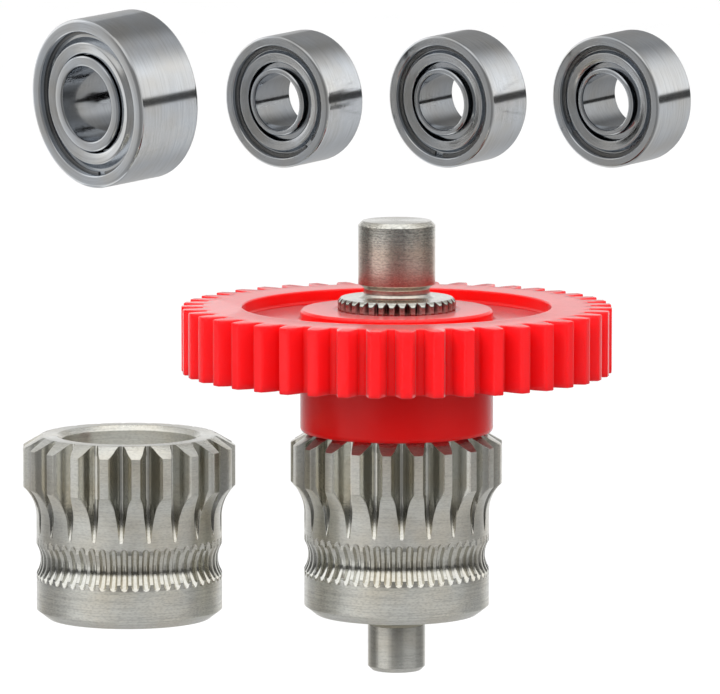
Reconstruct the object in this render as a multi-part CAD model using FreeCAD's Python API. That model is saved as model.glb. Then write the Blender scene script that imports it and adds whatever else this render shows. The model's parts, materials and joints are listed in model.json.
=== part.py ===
import FreeCAD, Part
import math
import os
from FreeCAD import Vector, Placement, Rotation

# Dual-drive extruder gear set, laid out as a kit.  Millimetres, +Z up.
# The drive shaft stands on the Z axis, with the centre of its lower end face at the origin.
# Heights below are measured from the drum's lower shoulder; every piece is lifted by the lower
# journal's length as it is saved.  Front is -Y.  The idler gear stands to the left (-X), backed
# off from the drive gear, and four shielded ball bearings stand in a row above and behind.
# Names ending in _R are radii, _H heights, _W widths, _L lengths along the shaft, Z_ levels.

ORIGIN = Vector(0, 0, 0)
UP = Vector(0, 0, 1)
REACH = 0.5                 # how far fused pieces overlap and cutters run past a face
LONG_REACH = 2 * REACH      # the same, where more is needed

# ---------------------------------------------------------------- driving dimensions
# drive shaft, one turned piece with the toothed drum cut on it
LOWER_JOURNAL_R = 1.50      # takes the 3 x 7 x 3 bearing
LOWER_JOURNAL_L = 3.00
UPPER_JOURNAL_R = 2.00      # takes the 4 x 9 x 4 bearing
UPPER_JOURNAL_L = 4.00
END_CHAMFER = 0.22
RELIEF_W = 0.50             # relief groove at the lower shoulder
RELIEF_DEPTH = 0.10
RELIEF_TAPER = 0.015        # the relief deepens slightly towards the shoulder
NECK_H = 0.72               # neck at the foot of the upper journal
NECK_DEPTH = 0.28
NECK_FILLET = 0.24
NECK_CONE_H = 0.20          # cone from the neck out to the journal
KNURL_R = 3.05              # knurled seat of the moulded gear
KNURL_COUNT = 34
KNURL_DEPTH = 0.18
KNURL_CREST = 0.10          # half a crest's width, as a share of the knurl's pitch
KNURL_CHAMFER = 0.15
KNURL_TRIM_CLEAR = 0.01     # trimming solid outside the crests
Z_KNURL_TOP = 16.50
Z_TOP = Z_KNURL_TOP + UPPER_JOURNAL_L

# toothed drum, the same form on the drive shaft and on the idler gear
DRUM_H = 9.50
DRUM_BODY_R = 4.80
BOTTOM_CHAMFER_R = 4.23
BOTTOM_CHAMFER_H = 0.45
TOP_FACE_R = 4.56
TOP_CHAMFER_H = 0.56
Z_TIP_LOW = 6.90            # lower end of the full tooth tip
Z_THROAT_LOW = 5.30         # the concave throat meets the body here

# drum teeth and the gaps between them
PRESSURE_ANGLE = math.radians(20.0)
TEETH = 21
MODULE = 0.48
SHIFT = 0.10
TIP_R = 5.50
ROOT_R = 4.45
Z_GAP_STRAIGHT = 6.75       # tooth gaps are straight above this height
GAP_CUTTER_R = 7.60         # and run out on this radius below it
GAP_RUNOUT_DEG = 26
GAP_FLOOR_HALF_W = 0.10     # a gap has a narrow rounded floor
GAP_FLOOR_RISE = 0.03       # height of the floor's edges above its middle
GAP_FILLET_H = 0.35         # sloping fillets end here, where the tooth flanks start
GAP_FLANK_RADII = (ROOT_R + GAP_FILLET_H, 5.18, 5.60)   # start, middle and end of a flank
GAP_EXTENSION = 0.60        # the cutter's sides carry on this far past the flanks

# fluted filament groove
Z_GROOVE = 3.10
GROOVE_R = 1.41
GROOVE_DEPTH = 0.21
FLUTES = 53
FLUTE_DISC_R = 1.58
FLUTE_DEPTH = 0.45
FLUTE_HALF_W = 0.22         # at the drum's surface
FLUTE_NOSE_HALF_W = 0.78 * FLUTE_HALF_W
FLUTE_NOSE_H = 0.9 * FLUTE_NOSE_HALF_W
FLUTE_OUTER_HALF_W = 1.35 * FLUTE_HALF_W

# moulded spur gear
SPUR_TEETH = 43
SPUR_MODULE = 0.50
SPUR_SHIFT = 0.06
SPUR_TIP_R = 11.15
SPUR_ROOT_R = 10.10
SPUR_ROOT_SAG = 0.06        # middle of a gap's floor below the root radius
Z_SPUR_LOW = 12.65
Z_SPUR_TOP = 16.05
HUB_R = 5.00
HUB_FOOT_ROUND = 0.22
Z_BOSS_TOP = 15.90
BOSS_CHAMFER = 0.12
RECESS_R = 8.00             # ring-shaped recess around the hub, in both faces
RECESS_DEPTH = 0.70
RECESS_FILLET = 0.15
RECESS_CHAMFER = 0.06

# a tooth's direction, in degrees from the front (-Y) towards +X
DRIVE_PHASE_DEG = -5.6
IDLER_PHASE_DEG = 5.4
SPUR_PHASE_DEG = 2.3

# ball bearings.  Radii: bore, outside, ball, the ball-side land of each ring, inner ring's end
# face, outer ring's recess and clip groove, clip's inner edge, and the shield's inner edge, flat
# and foot.  Axial, from the middle plane: half the width, and the lands' ends.
LARGE = {
    "bore": UPPER_JOURNAL_R, "outside": 4.50, "half_width": UPPER_JOURNAL_L / 2, "ball": 0.65,
    "inner_land": 2.85, "inner_face": 2.55, "outer_land": 3.65, "land_end": 1.40,
    "recess": 3.85, "groove": 3.95, "clip_edge": 3.66,
    "shield_edge": 2.66, "shield_flat": 3.20, "shield_foot": 3.48, "outer_round": 0.20,
}
SMALL = {
    "bore": LOWER_JOURNAL_R, "outside": 3.50, "half_width": LOWER_JOURNAL_L / 2, "ball": 0.50,
    "inner_land": 2.20, "inner_face": 1.80, "outer_land": 2.80, "land_end": 1.00,
    "recess": 3.00, "groove": 3.08, "clip_edge": 2.76,
    "shield_edge": 2.10, "shield_flat": 2.55, "shield_foot": 2.68, "outer_round": 0.16,
}
BALLS = 7
BALL_CLEAR = 0.012          # radial running clearance of a ball in its raceways
BORE_ROUND = 0.10
FACE_CHAMFER = 0.05         # on the ring faces' edges next to the shield
POCKET_CLEAR = 0.035
CAGE_CLEAR = 0.10           # between the cage and each land
CAGE_BELOW_BALLS = 0.20
CAGE_TOP = 0.45             # as a share of the ball's radius
SHEET_T = 0.10              # shield sheet
SHIELD_SINK = 0.12          # shield's flat below the rings' faces
SHIELD_EDGE_CHAMFER = 0.05
SHIELD_FLAT_INSET = 0.04    # inner surface's flat ends this much further in
SHIELD_FOOT_OFFSET = 0.03   # the two surfaces meet the foot this far either side of it
CLIP_H = 0.16               # retaining clip
CLIP_CHAMFER = 0.04
CLIP_GAP_W = 0.50

ROW_Y = 9.0
ROW_Z = 26.0
SMALL_X = -5.38             # first small bearing
SMALL_SPACING = 8.65
# name: size, x, axis direction in degrees from +Y towards +X, far end tipped up by this many
# degrees, angle of the first ball
ROW = {
    "upper_bearing": (LARGE, -14.85, 48.0, 5.0, 35.0),
    "lower_bearing": (SMALL, SMALL_X, 38.5, 3.4, 10.0),
    "idler_bearing_1": (SMALL, SMALL_X + SMALL_SPACING, 38.5, 3.4, 60.0),
    "idler_bearing_2": (SMALL, SMALL_X + 2 * SMALL_SPACING, 38.5, 3.4, 110.0),
}

# idler gear
IDLER_BORE_R = SMALL["outside"]     # takes two small bearings
IDLER_LAND_R = 3.10                 # step between the two bearing seats
IDLER_SEAT_L = 3.10
IDLER_BORE_CHAMFER = 0.25
IDLER_X = -13.85
IDLER_Y = -1.30


# ---------------------------------------------------------------- helpers
def arc_edge(start, middle, end):
    return Part.Arc(start, middle, end).toShape()


def turned(points):
    """Solid turned about Z from a closed outline of (r, z) points.

    ("arc", middle, end) is a three-point arc from the last point; ("round", corner, end) is a
    quarter round that replaces the corner.
    """
    def at(point):
        return Vector(point[0], 0, point[1])

    edges = []
    first = last = at(points[0])
    for item in points[1:]:
        if item[0] == "arc":
            middle, end = at(item[1]), at(item[2])
            edges.append(arc_edge(last, middle, end))
        elif item[0] == "round":
            corner, end = at(item[1]), at(item[2])
            middle = corner + (last + end - corner * 2) * (1 - math.sqrt(0.5))
            edges.append(arc_edge(last, middle, end))
        else:
            end = at(item)
            edges.append(Part.makeLine(last, end))
        last = end
    edges.append(Part.makeLine(last, first))
    return Part.Face(Part.Wire(edges)).revolve(ORIGIN, UP, 360)


def front(degrees):
    """Polar angle of a direction given in degrees from the front (-Y) towards +X."""
    return math.radians(degrees - 90.0)


def polar(radius, angle, z=0.0):
    return Vector(radius * math.cos(angle), radius * math.sin(angle), z)


def base_radius(teeth, module):
    return teeth * module / 2 * math.cos(PRESSURE_ANGLE)


def half_tooth(radius, teeth, module, shift):
    """Half the angle an involute tooth fills at a radius; constant below the base circle."""
    def involute(angle):
        return math.tan(angle) - angle

    base = base_radius(teeth, module)
    angle = math.acos(min(1.0, base / max(radius, base)))
    thickness = math.pi * module / 2 + 2 * shift * module * math.tan(PRESSURE_ANGLE)
    return thickness / (teeth * module) + involute(PRESSURE_ANGLE) - involute(angle)


def knurl_prism(z_low, z_high):
    """The knurled seat as one straight serrated prism."""
    points = []
    for k in range(KNURL_COUNT):
        for offset, radius in ((-0.5, KNURL_R - KNURL_DEPTH),
                               (-KNURL_CREST, KNURL_R), (KNURL_CREST, KNURL_R)):
            points.append(polar(radius, (k + offset) * 2 * math.pi / KNURL_COUNT, z_low))
    points.append(points[0])
    return Part.Face(Part.makePolygon(points)).extrude(Vector(0, 0, z_high - z_low))


def save(shape, name, place=Placement()):
    """Write one piece, moved to its place and lifted so the shaft stands on z = 0."""
    lift = Placement(Vector(0, 0, LOWER_JOURNAL_L), Rotation())
    shape = shape.copy()
    shape.Placement = lift.multiply(place.multiply(shape.Placement))
    shape.exportStep(os.path.join("parts", name + ".step"))


# ---------------------------------------------------------------- toothed drum
def gap_cutter():
    """One tooth gap on +X: straight at the top, leaving the drum on the cutter's radius."""
    z = Z_GAP_STRAIGHT

    def side_points(side):
        points = [Vector(ROOT_R + GAP_FLOOR_RISE, GAP_FLOOR_HALF_W * side, z)]
        for radius in GAP_FLANK_RADII:
            angle = math.pi / TEETH - half_tooth(radius, TEETH, MODULE, SHIFT)
            points.append(polar(radius, angle * side, z))
        return points

    left, right = side_points(1), side_points(-1)
    left_end = left[3] + (left[3] - left[2]).normalize().multiply(GAP_EXTENSION)
    right_end = Vector(left_end.x, -left_end.y, z)
    face = Part.Face(Part.Wire([
        arc_edge(right[0], Vector(ROOT_R, 0, z), left[0]),
        Part.makeLine(left[0], left[1]),
        arc_edge(left[1], left[2], left[3]),
        Part.makeLine(left[3], left_end),
        Part.makeLine(left_end, right_end),
        Part.makeLine(right_end, right[3]),
        arc_edge(right[3], right[2], right[1]),
        Part.makeLine(right[1], right[0]),
    ]))
    straight = face.extrude(Vector(0, 0, DRUM_H + REACH - z))
    # turning about -Y carries the gap down and outwards
    runout = face.revolve(Vector(ROOT_R + GAP_CUTTER_R, 0, z), Vector(0, -1, 0), GAP_RUNOUT_DEG)
    return straight.fuse(runout).removeSplitter()


def flute_cutter():
    """One disc cutter of the filament groove, on +X: round nose, sides opening outwards."""
    bottom = DRUM_BODY_R - FLUTE_DEPTH
    half = [(bottom + FLUTE_NOSE_H, FLUTE_NOSE_HALF_W), (DRUM_BODY_R, FLUTE_HALF_W),
            (DRUM_BODY_R + REACH, FLUTE_OUTER_HALF_W)]
    sides = [Vector(x, y, Z_GROOVE) for x, y in half]
    sides += [Vector(x, -y, Z_GROOVE) for x, y in reversed(half)]
    nose = arc_edge(sides[-1], Vector(bottom, 0, Z_GROOVE), sides[0])
    face = Part.Face(Part.Wire([nose] + Part.makePolygon(sides).Edges))
    return face.revolve(Vector(bottom + FLUTE_DISC_R, 0, Z_GROOVE), Vector(0, 1, 0), 360)


def drum(phase_deg):
    """Solid drum: gear teeth above, concave throat, fluted filament groove, plain foot."""
    rise, height = TIP_R - DRUM_BODY_R, Z_TIP_LOW - Z_THROAT_LOW
    throat_r = (rise ** 2 + height ** 2) / (2 * rise)
    half_angle = math.asin(height / throat_r) / 2
    throat_middle = (DRUM_BODY_R + throat_r * (1 - math.cos(half_angle)),
                     Z_THROAT_LOW + throat_r * math.sin(half_angle))
    groove_half_h = math.sqrt(2 * GROOVE_R * GROOVE_DEPTH - GROOVE_DEPTH ** 2)
    body = turned([
        (0, 0), (BOTTOM_CHAMFER_R, 0), (DRUM_BODY_R, BOTTOM_CHAMFER_H),
        (DRUM_BODY_R, Z_GROOVE - groove_half_h),
        ("arc", (DRUM_BODY_R - GROOVE_DEPTH, Z_GROOVE), (DRUM_BODY_R, Z_GROOVE + groove_half_h)),
        (DRUM_BODY_R, Z_THROAT_LOW), ("arc", throat_middle, (TIP_R, Z_TIP_LOW)),
        (TIP_R, DRUM_H - TOP_CHAMFER_H), (TOP_FACE_R, DRUM_H), (0, DRUM_H),
    ])
    cutters = []
    for cutter, count, offset in ((gap_cutter(), TEETH, 0.5), (flute_cutter(), FLUTES, 0.0)):
        for k in range(count):
            copy = cutter.copy()
            copy.rotate(ORIGIN, UP, phase_deg - 90.0 + (k + offset) * 360.0 / count)
            cutters.append(copy)
    return body.cut(cutters)


# ---------------------------------------------------------------- drive shaft
def drive_shaft():
    r, low = LOWER_JOURNAL_R, -LOWER_JOURNAL_L
    lower = turned([
        (0, low), (r - END_CHAMFER, low), (r, low + END_CHAMFER), (r, -RELIEF_W - RELIEF_DEPTH),
        (r - RELIEF_DEPTH + RELIEF_TAPER, -RELIEF_W), (r - RELIEF_DEPTH - RELIEF_TAPER, 0),
        (r - REACH, REACH), (0, REACH),
    ])
    r, z = UPPER_JOURNAL_R, Z_KNURL_TOP
    neck_r = r - NECK_DEPTH
    upper = turned([
        (0, z - REACH), (neck_r + NECK_FILLET, z - REACH), (neck_r + NECK_FILLET, z),
        ("round", (neck_r, z), (neck_r, z + NECK_FILLET)),
        (neck_r, z + NECK_H - NECK_CONE_H), (r, z + NECK_H),
        (r, Z_TOP - END_CHAMFER), (r - END_CHAMFER, Z_TOP), (0, Z_TOP),
    ])
    trim_r, trim_low = KNURL_R + KNURL_TRIM_CLEAR, DRUM_H - LONG_REACH
    trim = turned([
        (0, trim_low), (trim_r, trim_low), (trim_r, z - KNURL_CHAMFER),
        (trim_r - KNURL_CHAMFER, z), (0, z),
    ])
    seat = knurl_prism(DRUM_H - REACH, z).common(trim)
    return drum(DRIVE_PHASE_DEG).fuse([lower, seat, upper]).removeSplitter()


# ---------------------------------------------------------------- moulded spur gear
def spur_rim():
    base = base_radius(SPUR_TEETH, SPUR_MODULE)
    radii = (base, (base + SPUR_TIP_R) / 2, SPUR_TIP_R)
    halves = [half_tooth(r, SPUR_TEETH, SPUR_MODULE, SPUR_SHIFT) for r in radii]
    step = 2 * math.pi / SPUR_TEETH
    z = Z_SPUR_LOW
    edges = []
    for k in range(SPUR_TEETH):
        angle = front(SPUR_PHASE_DEG) + k * step
        rising = [polar(r, angle - half, z) for r, half in zip(radii, halves)]
        falling = [polar(r, angle + half, z) for r, half in zip(radii, halves)]
        root = polar(SPUR_ROOT_R - SPUR_ROOT_SAG, angle + step / 2, z)
        next_tooth = polar(base, angle + step - halves[0], z)
        edges += [
            arc_edge(*rising),
            arc_edge(rising[2], polar(SPUR_TIP_R, angle, z), falling[2]),
            arc_edge(*reversed(falling)),
            arc_edge(falling[0], root, next_tooth),
        ]
    return Part.Face(Part.Wire(edges)).extrude(Vector(0, 0, Z_SPUR_TOP - z))


def spur_gear():
    inner, outer, f = HUB_R, RECESS_R, RECESS_FILLET
    mouth = outer + RECESS_CHAMFER
    floor = Z_SPUR_TOP - RECESS_DEPTH
    above = Z_SPUR_TOP + LONG_REACH
    top = turned([
        (0, Z_BOSS_TOP), (inner - BOSS_CHAMFER, Z_BOSS_TOP), (inner, Z_BOSS_TOP - BOSS_CHAMFER),
        (inner, floor + f), ("round", (inner, floor), (inner + f, floor)),
        (outer - f, floor), ("round", (outer, floor), (outer, floor + f)),
        (outer, Z_SPUR_TOP - RECESS_CHAMFER), (mouth, Z_SPUR_TOP), (mouth, above), (0, above),
    ])
    ceiling = Z_SPUR_LOW + RECESS_DEPTH
    below = Z_SPUR_LOW - LONG_REACH
    under = turned([
        (inner, below), (mouth, below), (mouth, Z_SPUR_LOW), (outer, Z_SPUR_LOW + RECESS_CHAMFER),
        (outer, ceiling - f), ("round", (outer, ceiling), (outer - f, ceiling)),
        (inner + f, ceiling), ("round", (inner, ceiling), (inner, ceiling - f)),
    ])
    hub_top = Z_SPUR_LOW + LONG_REACH
    hub = turned([
        (0, DRUM_H), (HUB_R - HUB_FOOT_ROUND, DRUM_H),
        ("round", (HUB_R, DRUM_H), (HUB_R, DRUM_H + HUB_FOOT_ROUND)),
        (HUB_R, hub_top), (0, hub_top),
    ])
    gear = spur_rim().cut([top, under]).fuse(hub)
    return gear.cut(knurl_prism(DRUM_H - LONG_REACH, above)).removeSplitter()


# ---------------------------------------------------------------- idler gear
def idler_gear():
    r, chamfer, seat, top = IDLER_BORE_R, IDLER_BORE_CHAMFER, IDLER_SEAT_L, DRUM_H
    mouth = r + chamfer
    bore = turned([
        (0, -REACH), (mouth + REACH, -REACH), (mouth, 0), (r, chamfer), (r, seat),
        (IDLER_LAND_R, seat), (IDLER_LAND_R, top - seat), (r, top - seat),
        (r, top - chamfer), (mouth, top), (mouth + REACH, top + REACH), (0, top + REACH),
    ])
    gear = drum(IDLER_PHASE_DEG).cut(bore)
    gear.translate(Vector(IDLER_X, IDLER_Y, 0))
    return gear


# ---------------------------------------------------------------- ball bearings
def flipped(shape):
    """Mirror image across the bearing's middle plane."""
    return shape.mirror(ORIGIN, UP)


def ring(half_outline, raceway):
    half = turned(half_outline)
    return half.fuse(flipped(half)).removeSplitter().cut(raceway)


def bearing_pieces(size):
    """Deep-groove ball bearing about Z, with two shields held by spring clips."""
    h, land, ball = size["half_width"], size["land_end"], size["ball"]
    bore, outside = size["bore"], size["outside"]
    outer_land, inner_land, inner_face = size["outer_land"], size["inner_land"], size["inner_face"]
    recess, groove = size["recess"], size["groove"]
    pitch = (bore + outside) / 2
    clip_low = land + SHEET_T
    clip_high = clip_low + CLIP_H

    raceway = Part.makeTorus(pitch, ball + BALL_CLEAR)
    outer = ring([
        (outer_land, 0), (outer_land, land), (recess, land), (recess, clip_low),
        (groove, clip_low), (groove, clip_high), (recess, clip_high),
        (recess, h - FACE_CHAMFER), (recess + FACE_CHAMFER, h), (outside - size["outer_round"], h),
        ("round", (outside, h), (outside, h - size["outer_round"])), (outside, 0),
    ], raceway)
    inner = ring([
        (bore, 0), (inner_land, 0), (inner_land, land), (inner_face, land),
        (inner_face, h - FACE_CHAMFER), (inner_face - FACE_CHAMFER, h), (bore + BORE_ROUND, h),
        ("round", (bore, h), (bore, h - BORE_ROUND)),
    ], raceway)

    centres = [polar(pitch, 2 * math.pi * k / BALLS) for k in range(BALLS)]
    balls = [Part.makeSphere(ball, centre) for centre in centres]
    pockets = [Part.makeSphere(ball + POCKET_CLEAR, centre) for centre in centres]
    cage_half_w = (outer_land - inner_land) / 2 - CAGE_CLEAR
    low, high = -ball - CAGE_BELOW_BALLS, ball * CAGE_TOP
    cage = turned([
        (pitch - cage_half_w, low), (pitch + cage_half_w, low),
        (pitch + cage_half_w, high), (pitch - cage_half_w, high),
    ]).cut(pockets)

    edge, flat, foot = size["shield_edge"], size["shield_flat"], size["shield_foot"]
    top = h - SHIELD_SINK
    shield = turned([
        (recess, land), (recess, clip_low), (foot + SHIELD_FOOT_OFFSET, clip_low), (flat, top),
        (edge + SHIELD_EDGE_CHAMFER, top), (edge, top - SHIELD_EDGE_CHAMFER),
        (edge, top - SHEET_T), (flat - SHIELD_FLAT_INSET, top - SHEET_T),
        (foot - SHIELD_FOOT_OFFSET, land),
    ])

    edge, chamfer = size["clip_edge"], CLIP_CHAMFER
    clip = turned([
        (edge, clip_low + chamfer), (edge + chamfer, clip_low), (groove, clip_low),
        (groove, clip_high), (edge + chamfer, clip_high), (edge, clip_high - chamfer),
    ])
    gap_corner = Vector(0, -CLIP_GAP_W / 2, 0)
    clip = clip.cut(Part.makeBox(outside * 1.2, CLIP_GAP_W, 2 * h, gap_corner))
    return {
        "outer_ring": outer, "inner_ring": inner, "balls": Part.makeCompound(balls), "cage": cage,
        "shield_front": flipped(shield), "shield_back": shield,
        "clip_front": flipped(clip), "clip_back": clip,
    }


def row_place(x, azimuth_deg, tilt_deg, spin_deg):
    azimuth, tilt = math.radians(azimuth_deg), math.radians(tilt_deg)
    axis = Vector(math.sin(azimuth) * math.cos(tilt), math.cos(azimuth) * math.cos(tilt),
                  math.sin(tilt))
    turn = Rotation(UP, axis).multiply(Rotation(UP, spin_deg))
    return Placement(Vector(x, ROW_Y, ROW_Z), turn)


def main():
    os.makedirs("parts", exist_ok=True)
    save(drive_shaft(), "drive_shaft")
    save(spur_gear(), "spur_gear")
    save(idler_gear(), "idler_gear")
    for name, (size, x, azimuth, tilt, spin) in ROW.items():
        place = row_place(x, azimuth, tilt, spin)
        for piece, shape in bearing_pieces(size).items():
            save(shape, name + "_" + piece, place)


main()
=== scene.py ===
"""A small gear train: a steel drive shaft with a toothed drum and a pressed-on red spur gear,
a loose steel idler gear, and four shielded ball bearings.

The drive stands on the Z axis and the camera looks along +Y. Part sizes are in mm, and heights
on the drive, idler and spur gear are counted from the drum's lower end, LIFT above the origin.
Other lengths in the scene are in metres. Each bearing lies about the axis of its own joint.
"""
import json
import math
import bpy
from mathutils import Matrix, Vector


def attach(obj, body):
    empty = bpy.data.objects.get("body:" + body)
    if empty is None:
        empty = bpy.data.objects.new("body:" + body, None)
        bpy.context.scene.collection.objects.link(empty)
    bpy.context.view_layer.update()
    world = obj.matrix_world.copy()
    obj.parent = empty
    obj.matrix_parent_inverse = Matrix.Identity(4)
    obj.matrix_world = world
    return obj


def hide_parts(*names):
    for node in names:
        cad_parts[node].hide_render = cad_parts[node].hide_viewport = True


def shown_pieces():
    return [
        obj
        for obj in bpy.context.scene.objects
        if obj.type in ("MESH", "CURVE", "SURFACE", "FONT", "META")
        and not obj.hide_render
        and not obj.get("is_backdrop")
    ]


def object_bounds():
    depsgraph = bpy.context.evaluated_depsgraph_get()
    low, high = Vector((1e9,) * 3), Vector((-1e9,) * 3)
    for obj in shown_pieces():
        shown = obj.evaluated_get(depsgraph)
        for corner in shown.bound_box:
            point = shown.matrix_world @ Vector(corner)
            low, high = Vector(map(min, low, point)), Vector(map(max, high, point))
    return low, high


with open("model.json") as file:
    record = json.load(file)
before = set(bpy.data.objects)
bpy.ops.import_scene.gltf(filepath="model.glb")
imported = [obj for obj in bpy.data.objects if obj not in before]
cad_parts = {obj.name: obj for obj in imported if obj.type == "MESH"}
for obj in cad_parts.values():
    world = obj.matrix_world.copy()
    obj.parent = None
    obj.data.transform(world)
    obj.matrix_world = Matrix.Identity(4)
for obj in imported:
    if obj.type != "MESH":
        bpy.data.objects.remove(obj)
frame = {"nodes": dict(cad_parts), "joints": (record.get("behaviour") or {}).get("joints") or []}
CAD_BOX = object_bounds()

from types import SimpleNamespace

import bmesh
import bpy
import numpy as np
from mathutils import Matrix, Vector

NODES = frame["nodes"]
JOINTS = {joint["name"]: joint for joint in frame["joints"]}
IDLER_POS = JOINTS["idler_spin"]["pos_m"]
MM = 0.001
LIFT = 3.0
FULL_TURN = 2 * math.pi
PRESSURE_ANGLE = math.radians(20.0)

# Drum: turned outline
DRUM_H, BODY_R, TIP_R = 9.50, 4.80, 5.50
BOTTOM_R, BOTTOM_CHAMFER_H = 4.23, 0.45
TOP_R, TOP_CHAMFER_H = 4.56, 0.56
Z_CHAMFER = DRUM_H - TOP_CHAMFER_H                  # the top chamfer starts here
Z_THROAT, Z_TIP = 5.30, 6.90                        # the outline curves out from body to tip
Z_GROOVE, GROOVE_R, GROOVE_DEPTH = 3.10, 1.41, 0.21

# Drum: teeth. The gap cutter runs straight above Z_STRAIGHT and curves outwards below it.
DRUM_TEETH = dict(teeth=21, module=0.48, shift=0.10)
ROOT_R = 4.45
Z_STRAIGHT, RUNOUT_R = 6.75, 7.60
FLOOR_HALF_W, FLOOR_ROUND_H, FILLET_H = 0.10, 0.03, 0.35
GAP_STEPS, LAND_STEPS = 12, 7                       # per gap side, per tooth land
MIN_LIP = 0.010                                     # least half-angle of a gap's grid lines
Z_GRID = 4.34                                       # the toothed grid starts here

# Drum: flutes, cut by a disc with a round nose
FLUTES, FLUTE_DISC_R, FLUTE_DEPTH, FLUTE_W = 53, 1.58, 0.45, 0.22
FLUTE_NOSE_W, FLUTE_NOSE_SHAPE = FLUTE_W * 0.80, 0.9
Z_FLUTE = Z_GROOVE + 0.03
FLUTE_R = 4.7                                       # radius at which widths are measured
FLUTE_STEPS = 20

# Knurled seat above the drum
KNURLS, KNURL_R, KNURL_DEPTH, Z_KNURL, KNURL_ROUND_H = 34, 3.05, 0.18, 16.50, 0.24

# Spur gear
SPUR_TEETH = dict(teeth=43, module=0.50, shift=0.06)
SPUR_TIP_R, SPUR_ROOT_R, SPUR_Z0, SPUR_Z1 = 11.15, 10.04, 12.65, 16.05
RECESS_DEPTH, RECESS_FILLET = 0.70, 0.16
FILLET_MID = RECESS_FILLET * 0.29                   # the fillet's middle point, from each side
Z_HUB_TOP = 15.90

# A tooth or gap's turn from the -Y direction, degrees
DRIVE_PHASE, IDLER_PHASE, SPUR_PHASE = -5.6, 5.4, 2.3

# Bearings: radii, but half is half the width, and land_z is the lands' height off the middle
LARGE = SimpleNamespace(
    bore=2.0, od=4.5, half=2.0, pitch=3.25, ball=0.65, in_land=2.85, in_face=2.55,
    out_land=3.65, recess=3.85, groove=3.95, land_z=1.40, wire_in=3.66,
    shield_in=2.66, shield_flat=3.20, shield_foot=3.48, chamfer=0.20)
SMALL = SimpleNamespace(
    bore=1.5, od=3.5, half=1.5, pitch=2.5, ball=0.5, in_land=2.2, in_face=1.8,
    out_land=2.8, recess=3.0, groove=3.08, land_z=1.00, wire_in=2.76,
    shield_in=2.10, shield_flat=2.55, shield_foot=2.68, chamfer=0.16)
BEARING_SIZES = {"upper_bearing": LARGE, "lower_bearing": SMALL,
                 "idler_bearing_1": SMALL, "idler_bearing_2": SMALL}
BEARING_TURNS = {"upper_bearing": 35.0, "lower_bearing": 10.0,        # degrees about its axis
                 "idler_bearing_1": 60.0, "idler_bearing_2": 110.0}


# ------------------------------------------------------------------ mesh helpers
def link_object(name, data):
    obj = bpy.data.objects.new(name, data)
    bpy.context.scene.collection.objects.link(obj)
    return obj


def shade(mesh, sharp_deg):
    """Smooth, except over edges sharper than sharp_deg."""
    mesh.polygons.foreach_set("use_smooth", [True] * len(mesh.polygons))
    mesh.set_sharp_from_angle(angle=math.radians(sharp_deg))


def make(name, points, faces, sharp_deg, body, node):
    """A closed piece from points in mm, with its faces turned outwards."""
    mesh = bpy.data.meshes.new(name)
    mesh.from_pydata((np.asarray(points, float) * MM).tolist(), [],
                     [list(map(int, face)) for face in faces])
    mesh.validate()
    mesh.update()
    obj = link_object(name, mesh)
    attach(obj, body)
    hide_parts(node)
    bm = bmesh.new()
    bm.from_mesh(mesh)
    bmesh.ops.recalc_face_normals(bm, faces=bm.faces)
    bm.to_mesh(mesh)
    bm.free()
    shade(mesh, sharp_deg)
    return obj


def polar(radius, angle, z):
    return radius * math.cos(angle), radius * math.sin(angle), z


def lathe_rings(profile, count):
    return [[polar(radius, FULL_TURN * k / count, z) for k in range(count)]
            for radius, z in profile]


def smooth_profile(points, soft):
    """A (radius, z) outline with each inner corner rounded over soft mm."""
    steps = 3
    out = []
    last = len(points) - 1
    for i, point in enumerate(points):
        corner = np.array(point, float)
        if i in (0, last):
            out.append(tuple(corner))
            continue
        back = np.array(points[i - 1], float) - corner
        ahead = np.array(points[i + 1], float) - corner
        back_len, ahead_len = np.linalg.norm(back), np.linalg.norm(ahead)
        reach = min(soft, back_len * 0.45, ahead_len * 0.45)
        back, ahead = back / back_len, ahead / ahead_len
        if abs(np.dot(back, ahead)) > 0.9995 or reach < 1e-4:
            out.append(tuple(corner))
            continue
        start, end = corner + back * reach, corner + ahead * reach
        for k in range(steps + 1):
            t = k / steps
            out.append(tuple((1 - t) ** 2 * start + 2 * t * (1 - t) * corner + t * t * end))
    return out


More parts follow.
